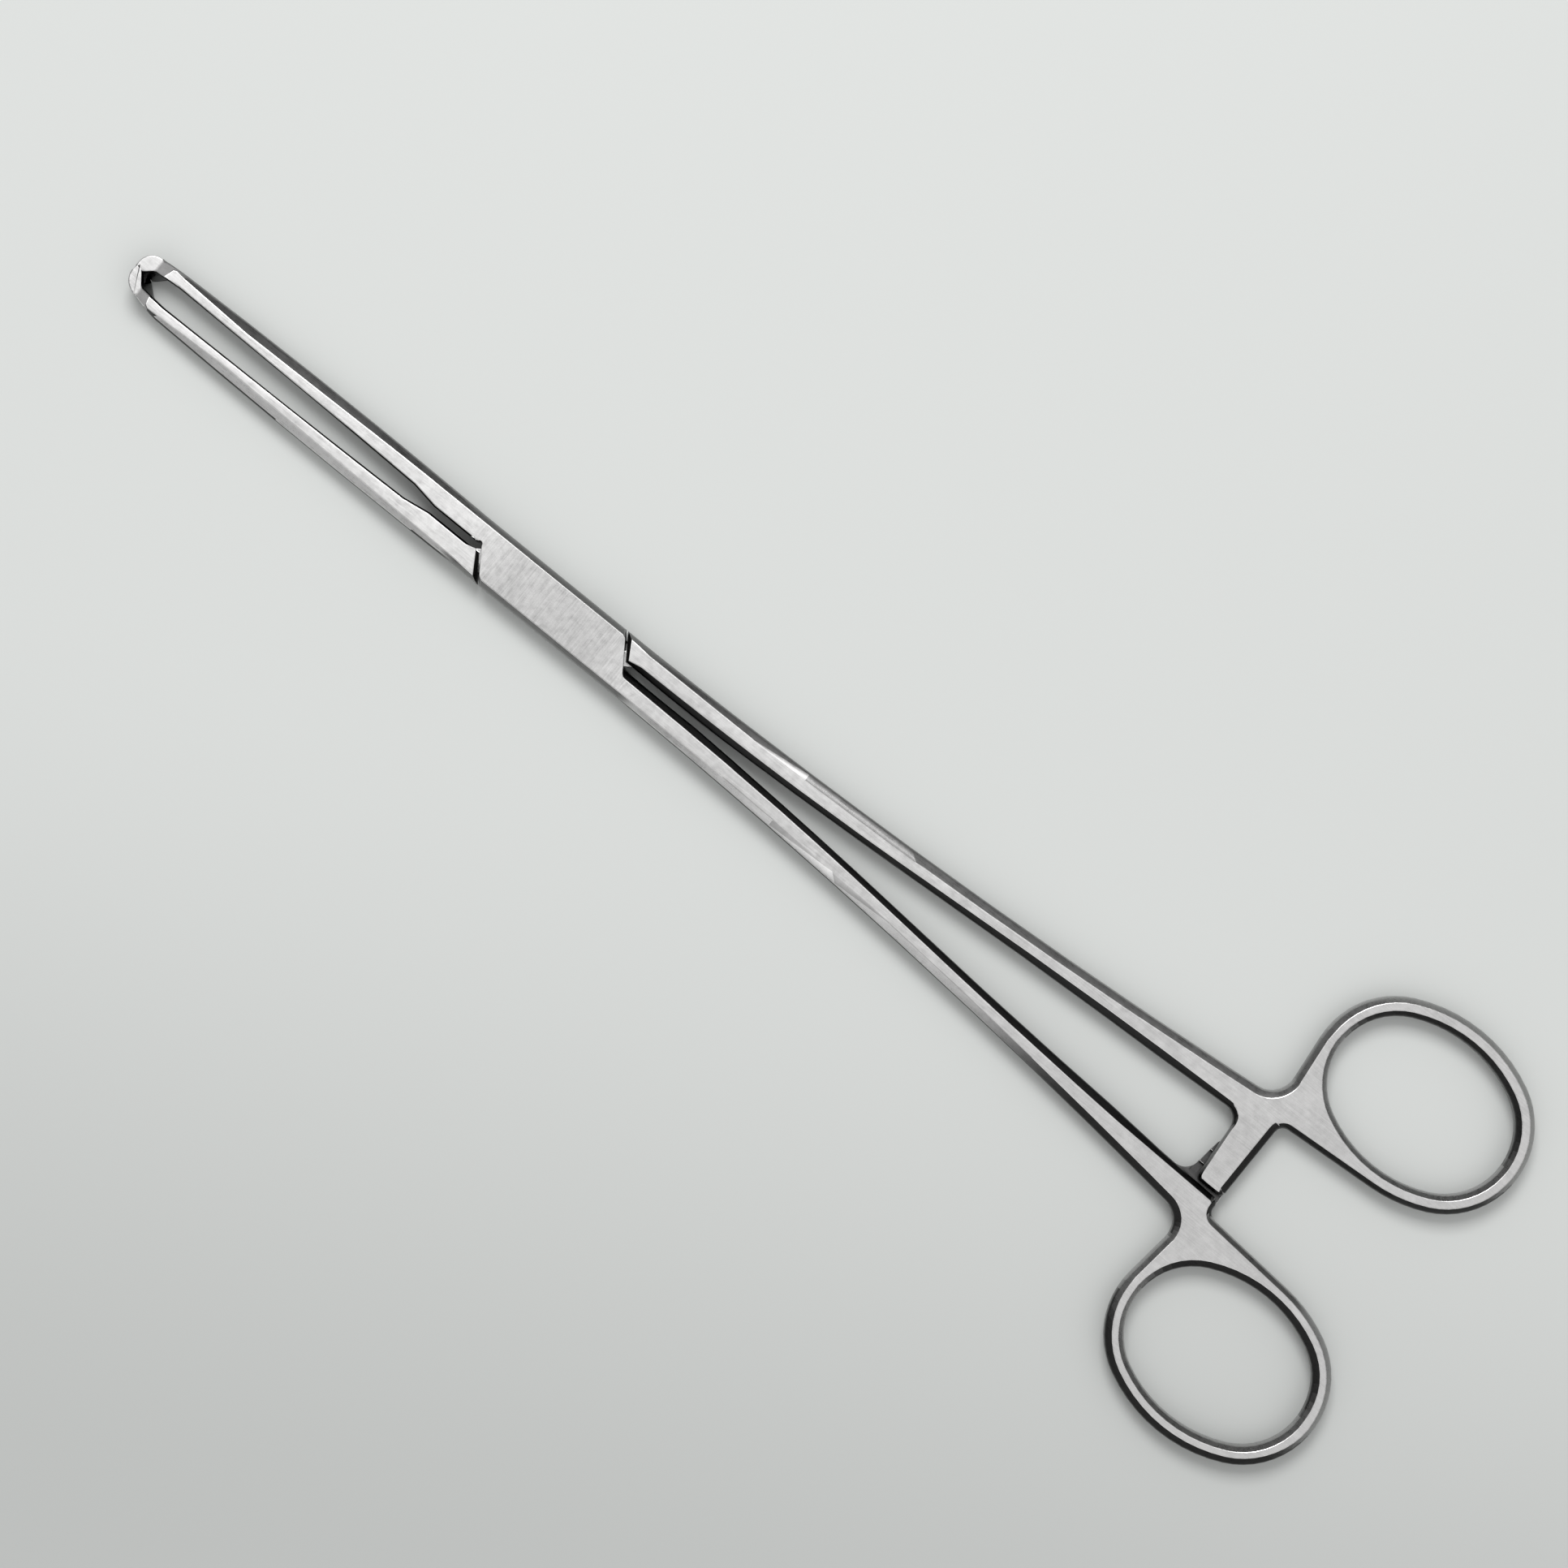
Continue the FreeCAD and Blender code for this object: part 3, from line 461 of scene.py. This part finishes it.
@dataclass(frozen=True)
class GroundWidth:
    """Width of the ground bevels along an arm; the blank's own bevel is the same everywhere."""

    blank: float = 0.75 * MM
    box: float = 0.72 * MM
    shoulder: float = 0.30 * MM
    jaw: float = 1.18 * MM
    tip: float = 0.22 * MM
    shank: float = 1.00 * MM
    inner: float = 0.68 * MM
    inner_ground: float = 0.10 * MM
    belly: float = 0.24 * MM
    ring: float = 0.72 * MM
    ring_below: float = 0.95 * MM
    leg_front: float = 0.16 * MM
    leg_rear: float = 1.02 * MM
    leg_end: float = 0.40 * MM
    box_end: float = 12.5 * MM
    jaw_span: tuple[float, float] = (13.0 * MM, 40.0 * MM)
    tip_span: tuple[float, float] = (56.0 * MM, 62.0 * MM)
    shank_span: tuple[float, float] = (14.0 * MM, 40.0 * MM)
    inner_span: tuple[float, float] = (14.0 * MM, 20.0 * MM)
    ring_span: tuple[float, float] = (102.0 * MM, 110.0 * MM)
    below_span: tuple[float, float] = (0.0, 0.7)
    leg_reach: float = 7.0 * MM
    leg_rear_reach: float = 4.4 * MM
    leg_front_span: tuple[float, float] = (2.8 * MM, 5.4 * MM)
    leg_end_reach: float = 4.6 * MM
    crosswise: float = 0.4

    def extra(self, place: Vector, outward: Vector) -> float:
        """Work out how far a crest moves inwards from the blank's.

        Args:
            place: Where the crest is.
            outward: Level direction out of the bevel.

        Returns:
            The distance, below zero where the bevel is narrower than the blank's.
        """
        forwards, backwards, aside = place.x, -place.x, abs(place.y)
        inwards = outward.y * place.y < 0
        behind_root = backwards > self.ring_span[0]
        if forwards > self.box_end:
            if inwards:
                return 0.0
            width = blend(self.box, self.jaw, ease(forwards, *self.jaw_span))
            return blend(width, self.tip, ease(forwards, *self.tip_span)) - self.blank
        if backwards < self.box_end:
            return (self.shoulder if abs(outward.x) > self.crosswise else self.box) - self.blank
        if behind_root and aside < self.leg_reach:
            return self.leg(aside, outward) - self.blank
        if inwards:
            return 0.0 if behind_root else self.inner_ground * ease(backwards, *self.inner_span)
        width = blend(self.box, self.shank, ease(backwards, *self.shank_span))
        ring = blend(self.ring, self.ring_below, ease(outward.y, *self.below_span))
        return blend(width, ring, ease(backwards, *self.ring_span)) - self.blank

    def leg(self, aside: float, outward: Vector) -> float:
        """Work out the width on a ratchet leg: sharp in front, broad behind, small at the free end.

        Args:
            aside: Distance from the middle of the forceps.
            outward: Level direction out of the bevel.

        Returns:
            The whole width of the bevel.
        """
        if outward.x < -self.crosswise:
            return self.leg_rear if aside < self.leg_rear_reach or outward.y > 0 else self.ring
        if outward.x > self.crosswise:
            return blend(self.leg_front, self.inner, ease(aside, *self.leg_front_span))
        return self.leg_end if aside < self.leg_end_reach else self.inner


@dataclass
class Arm:
    """One arm of the forceps, softened and finished from its forged blank."""

    node: str
    body: str
    merge: float = 0.001 * MM
    flat: float = math.radians(0.3)
    crest_width: float = 0.08 * MM
    crest_limit: float = 0.12 * MM
    crest_steps: int = 2
    foot_width: float = 0.30 * MM
    foot_steps: int = 3
    flank_lift: float = 0.3
    bevel_low: float = 0.5
    bevel_high: float = 0.9
    top_lift: float = 0.97
    swell_front: float = -16.0 * MM
    swell_rear: float = -100.0 * MM
    swell_rise: tuple[float, float] = (14.0 * MM, 24.0 * MM)
    swell_fade: tuple[float, float] = (90.0 * MM, 99.0 * MM)
    hole_reach: float = 3.0 * MM
    nib_back: float = 62.9 * MM
    nib_front: float = 63.3 * MM
    nib_half: float = 1.3 * MM
    nib_low: float = 0.1 * MM
    nib_gap: float = 0.08 * MM
    nib_rim: float = 0.16 * MM
    sharp: float = math.radians(28)
    ground: GroundWidth = GroundWidth()
    rule: FinishRule = FinishRule()
    steels: dict[Finish, bpy.types.Material] = field(default_factory=dict)

    def build(self, frame: Mapping[str, Any]) -> bpy.types.Object:
        """Make the dressed arm and let it stand for its node.


        Returns:
            The finished piece, riding on its body.
        """
        blank = self.blank(frame["nodes"][self.node])
        self.grind(blank)
        self.swell(blank)
        self.draft(blank)
        self.soften(blank)
        mesh = bpy.data.meshes.new(f"{self.node}_blank")
        blank.to_mesh(mesh)
        blank.free()
        piece = bpy.data.objects.new(f"{self.node}_steel", mesh)
        bpy.context.scene.collection.objects.link(piece)
        self.rule.apply(piece, self.steels)
        weight = piece.modifiers.new("weighted_normals", "WEIGHTED_NORMAL")
        weight.keep_sharp = True
        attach(piece, self.body)
        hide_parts(self.node)
        return piece

    def blank(self, node: bpy.types.Object) -> bmesh.types.BMesh:
        """Copy the node's mesh, merged into closed faces."""
        blank = bmesh.new()
        blank.from_mesh(node.data)
        bmesh.ops.remove_doubles(blank, verts=blank.verts, dist=self.merge)
        bmesh.ops.dissolve_limit(
            blank, angle_limit=self.flat, use_dissolve_boundaries=False,
            verts=blank.verts, edges=blank.edges,
        )
        bmesh.ops.recalc_face_normals(blank, faces=blank.faces)
        return blank

    @staticmethod
    def lifts(edge: bmesh.types.BMEdge) -> tuple[float, float]:
        """How level the two faces of an edge lie, the steeper one first."""
        first, second = sorted(abs(face.normal.z) for face in edge.link_faces)
        return first, second

    def rims(
        self, blank: bmesh.types.BMesh, chosen: Callable[[float, float], bool]
    ) -> list[bmesh.types.BMEdge]:
        """Find the edges whose two faces lie as the rule asks.

        Args:
            blank: The arm's mesh.
            chosen: The rule, which is given what lifts() gives.

        Returns:
            The edges, in the mesh's order.
        """
        return [edge for edge in blank.edges if len(edge.link_faces) == 2 and chosen(*self.lifts(edge))]

    def grind(self, blank: bmesh.types.BMesh) -> None:
        """Move the crests of the bevels in or out, so that their width follows the arm."""
        ways: dict[bmesh.types.BMVert, Vector] = {}
        for edge in self.rims(
            blank, lambda low, high: self.bevel_low < low < self.bevel_high and high > self.top_lift
        ):
            slope = min(edge.link_faces, key=lambda face: abs(face.normal.z)).normal
            for vertex in edge.verts:
                ways.setdefault(vertex, Vector()).xy += slope.xy.normalized()
        for vertex, way in ways.items():
            outward = way.normalized()
            vertex.co -= outward * self.ground.extra(vertex.co, outward)

    def swell(self, blank: bmesh.types.BMesh) -> None:
        """Swell the inner flanks of the shank, whose bevels then widen towards the other shank."""
        ways: dict[bmesh.types.BMVert, Vector] = {}
        for face in blank.faces:
            place = face.calc_center_median()
            inner = abs(face.normal.z) < self.flank_lift and face.normal.y * place.y < 0
            if inner and self.swell_rear < place.x < self.swell_front:
                for vertex in face.verts:
                    ways.setdefault(vertex, Vector()).xy += face.normal.xy.normalized()
        for vertex, way in ways.items():
            share = ease(-vertex.co.x, *self.swell_rise) * (1 - ease(-vertex.co.x, *self.swell_fade))
            vertex.co += way.normalized() * self.ground.belly * share

    def draft(self, blank: bmesh.types.BMesh) -> None:
        """Slope the walls behind the nib inwards to the underside, as forging leaves them."""
        for vertex in blank.verts:
            behind = self.nib_back < vertex.co.x < self.nib_front
            if behind and abs(vertex.co.y) < self.nib_half and vertex.co.z < self.nib_low:
                vertex.co.y = math.copysign(self.nib_gap, vertex.co.y)

    def soften(self, blank: bmesh.types.BMesh) -> None:
        """Round the foot of each bevel into its flank and break its crest, within the blank's height."""
        heights = [vertex.co.z for vertex in blank.verts]
        bottom, top = min(heights), max(heights)
        self.round_off(blank, self.foot_width, self.foot_steps, self.rims(
            blank, lambda low, high: low < self.flank_lift and self.bevel_low < high < self.bevel_high
        ))
        for at_nib, width in ((False, self.crest_width), (True, self.nib_rim)):
            self.round_off(blank, width, self.crest_steps, [
                edge for edge in self.rims(
                    blank, lambda low, high: low < self.bevel_high and high > self.top_lift
                )
                if edge.verts[0].co.xy.length > self.hole_reach
                and (min(end.co.x for end in edge.verts) > self.nib_back) == at_nib
            ])
        # Thin crest faces are marked here; the finish rule paints a highlight on them.
        broken = blank.faces.layers.float.new(CREST)
        for face in blank.faces:
            longest = max(edge.calc_length() for edge in face.edges)
            face[broken] = float(face.calc_area() < self.crest_limit * longest)
            face.smooth = True
        for vertex in blank.verts:
            vertex.co.z = min(max(vertex.co.z, bottom), top)
        for edge in blank.edges:
            if len(edge.link_faces) == 2:
                edge.smooth = edge.calc_face_angle(0) < self.sharp

    @staticmethod
    def round_off(
        blank: bmesh.types.BMesh, width: float, steps: int, edges: list[bmesh.types.BMEdge]
    ) -> None:
        """Round some edges off.

        Args:
            blank: The arm's mesh.
            width: How far the rounding goes to each side of the edge.
            steps: How many faces it has.
            edges: The edges.
        """
        bmesh.ops.bevel(
            blank, geom=edges, offset=width, segments=steps, profile=0.5, affect="EDGES",
            clamp_overlap=False,
        )


@dataclass(frozen=True)
class Rivet:
    """The headless rivet, ground flush with both cheeks of the box."""

    node: str = "pivot_pin"

    def build(self, frame: Mapping[str, Any], steel: bpy.types.Material) -> bpy.types.Object:
        """Dress the node itself, whose shape is right.

        Args:
            steel: Finish of the ground ends.

        Returns:
            The node's own object.
        """
        pin = frame["nodes"][self.node]
        pin.data.materials.clear()
        pin.data.materials.append(steel)
        return pin


@dataclass(frozen=True)
class Studio:
    """Pale floor, broad soft light from above and the camera straight over the forceps."""

    floor_half: float = 6.0
    floor_grey: float = 0.63
    floor_fall: float = 0.22
    floor_start: float = 15.0 * MM
    floor_end: float = 125.0 * MM
    floor_darker: tuple[float, float, float] = (-0.41, 0.91, 0.0)
    floor_red: float = 0.975
    floor_blue: float = 0.98
    floor_roughness: float = 0.5
    floor_gloss: float = 0.2
    camera_height: float = 577.3 * MM
    middle_height: float = 2.3 * MM
    view_width: float = 190.7 * MM
    aim: tuple[float, float] = (-35.3 * MM, -1.1 * MM)
    turn: float = math.radians(219.09)
    sensor: float = 36.0
    far_horizon: float = 0.12
    near_horizon: float = 0.35
    dome: float = 0.33
    zenith: float = 0.32
    ring_glow: float = 0.42
    horizon_span: tuple[float, float] = (-0.5, 0.7)
    dome_span: tuple[float, float] = (0.1, 0.75)
    zenith_span: tuple[float, float] = (0.7, 0.98)
    glow_span: tuple[float, float] = (0.0, 0.17)
    glow_rise: tuple[float, float] = (0.5, 0.9)
    panel_size: float = 0.36
    panel_power: float = 4.1
    panel_out: float = 0.42
    panel_height: float = 0.75

    def build(self) -> None:
        """Make the floor, the light and the camera."""
        self.floor()
        self.sky()
        self.panel()
        self.camera()
        bpy.context.scene.view_settings.view_transform = "Standard"

    def floor(self) -> None:
        """Lay a large pale floor under the forceps, with painted shade that makes it a little darker towards
        the bottom of the image, away from the panel.
        """
        mesh = bpy.data.meshes.new("floor")
        half = self.floor_half
        corners = [(-half, -half, 0), (half, -half, 0), (half, half, 0), (-half, half, 0)]
        mesh.from_pydata(corners, [], [(0, 1, 2, 3)])
        made = bpy.data.materials.new("pale_floor")
        made.use_nodes = True
        graph = Graph(made.node_tree)
        place = graph.node("ShaderNodeTexCoord").outputs["Object"]
        down = graph.signal("ShaderNodeVectorMath", "Value", {"operation": "DOT_PRODUCT"}, {
            0: place, 1: self.floor_darker,
        })
        # Painted shade: the floor's grey falls off towards the bottom of the image.
        level = self.floor_grey * (1 - self.floor_fall * down.between(self.floor_start, self.floor_end))
        colour = graph.node("ShaderNodeCombineColor", None, {
            "Red": level * self.floor_red, "Green": level, "Blue": level * self.floor_blue,
        })
        surface = graph.node("ShaderNodeBsdfPrincipled", None, {
            "Base Color": colour.outputs[0], "Roughness": self.floor_roughness,
            "Specular IOR Level": self.floor_gloss,
        })
        graph.node("ShaderNodeOutputMaterial", None, {"Surface": surface.outputs[0]})
        mesh.materials.append(made)
        floor = bpy.data.objects.new("floor", mesh)
        bpy.context.scene.collection.objects.link(floor)

    def sky(self) -> None:
        """Light the scene from a dome: bright overhead, dark beyond the top of the image."""
        world = bpy.data.worlds.new("studio")
        bpy.context.scene.world = world
        world.use_nodes = True
        graph = Graph(world.node_tree)
        way = graph.node("ShaderNodeTexCoord").outputs["Generated"]
        near = graph.signal("ShaderNodeVectorMath", "Value", {"operation": "DOT_PRODUCT"}, {
            0: way, 1: tuple(-IMAGE_UP),
        })
        tipwards, _, height = graph.axes(way)
        rise = near.between(*self.horizon_span)
        light = self.far_horizon + (self.near_horizon - self.far_horizon) * rise
        light = light + self.dome * height.between(*self.dome_span)
        light = light + self.zenith * height.between(*self.zenith_span)
        glow = (0 - tipwards).between(*self.glow_span) * height.between(*self.glow_rise)
        light = light + self.ring_glow * glow
        back = graph.node("ShaderNodeBackground", None, {"Color": WHITE, "Strength": light})
        graph.node("ShaderNodeOutputWorld", None, {"Surface": back.outputs[0]})

    def panel(self) -> None:
        """Hang a soft panel beyond the top of the image, so that the shadows fall to its bottom."""
        light = bpy.data.lights.new("panel", "AREA")
        light.shape = "SQUARE"
        light.size = self.panel_size
        light.energy = self.panel_power
        panel = bpy.data.objects.new("panel", light)
        middle = Vector((*self.aim, 0.0))
        place = middle + IMAGE_UP * self.panel_out + Vector((0, 0, self.panel_height))
        panel.location = place
        panel.rotation_mode = "QUATERNION"
        panel.rotation_quaternion = (place - middle).to_track_quat("Z", "Y")
        bpy.context.scene.collection.objects.link(panel)

    def camera(self) -> None:
        """Set the camera straight above, turned so that the tips point to the upper left."""
        lens = bpy.data.cameras.new("camera")
        lens.sensor_width = self.sensor
        lens.lens = self.sensor * (self.camera_height - self.middle_height) / self.view_width
        camera = bpy.data.objects.new("camera", lens)
        place = Matrix.Translation((*self.aim, self.camera_height))
        camera.matrix_world = place @ Matrix.Rotation(self.turn, 4, "Z")
        bpy.context.scene.collection.objects.link(camera)
        bpy.context.scene.camera = camera


def steels() -> dict[Finish, bpy.types.Material]:
    """Build every finish of the steel."""
    finishes = (
        Steel(Finish.SATIN, level=0.45, grain=0.13),
        BoxSteel(Finish.BRUSHED, level=0.38, across=True, grain=0.13, cloud=0.04, mottle=0.07),
        # Bevels and flanks: a dark grey that stands for painted reflection, with painted sheen and painted
        # shade.
        Flank(Finish.FLANK, level=0.24, roughness=0.30, cloud=0.05, grain=0.10),
        # Painted highlight on the crests.
        Steel(Finish.CREST_HIGHLIGHT, level=0.86, roughness=0.28, cloud=0.05),
        # Painted shade in the recesses.
        Steel(Finish.RECESS_SHADE, level=0.08, roughness=0.45, cloud=0.04),
    )
    return {steel.finish: steel.material() for steel in finishes}


def main() -> None:
    """Dress the forceps, light them and report each piece."""
    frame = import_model()
    finishes = steels()
    for node, body in (("box_arm", "box_half"), ("tongue_arm", "tongue_half")):
        piece = Arm(node, body, steels=finishes).build(frame)
        LOG.info("%s: %d faces", piece.name, len(piece.data.polygons))
    pin = Rivet().build(frame, finishes[Finish.BRUSHED])
    LOG.info("%s: %d faces", pin.name, len(pin.data.polygons))
    Studio().build()


if __name__ == "__main__":
    logging.basicConfig(level=logging.INFO, format="%(message)s")
    main()
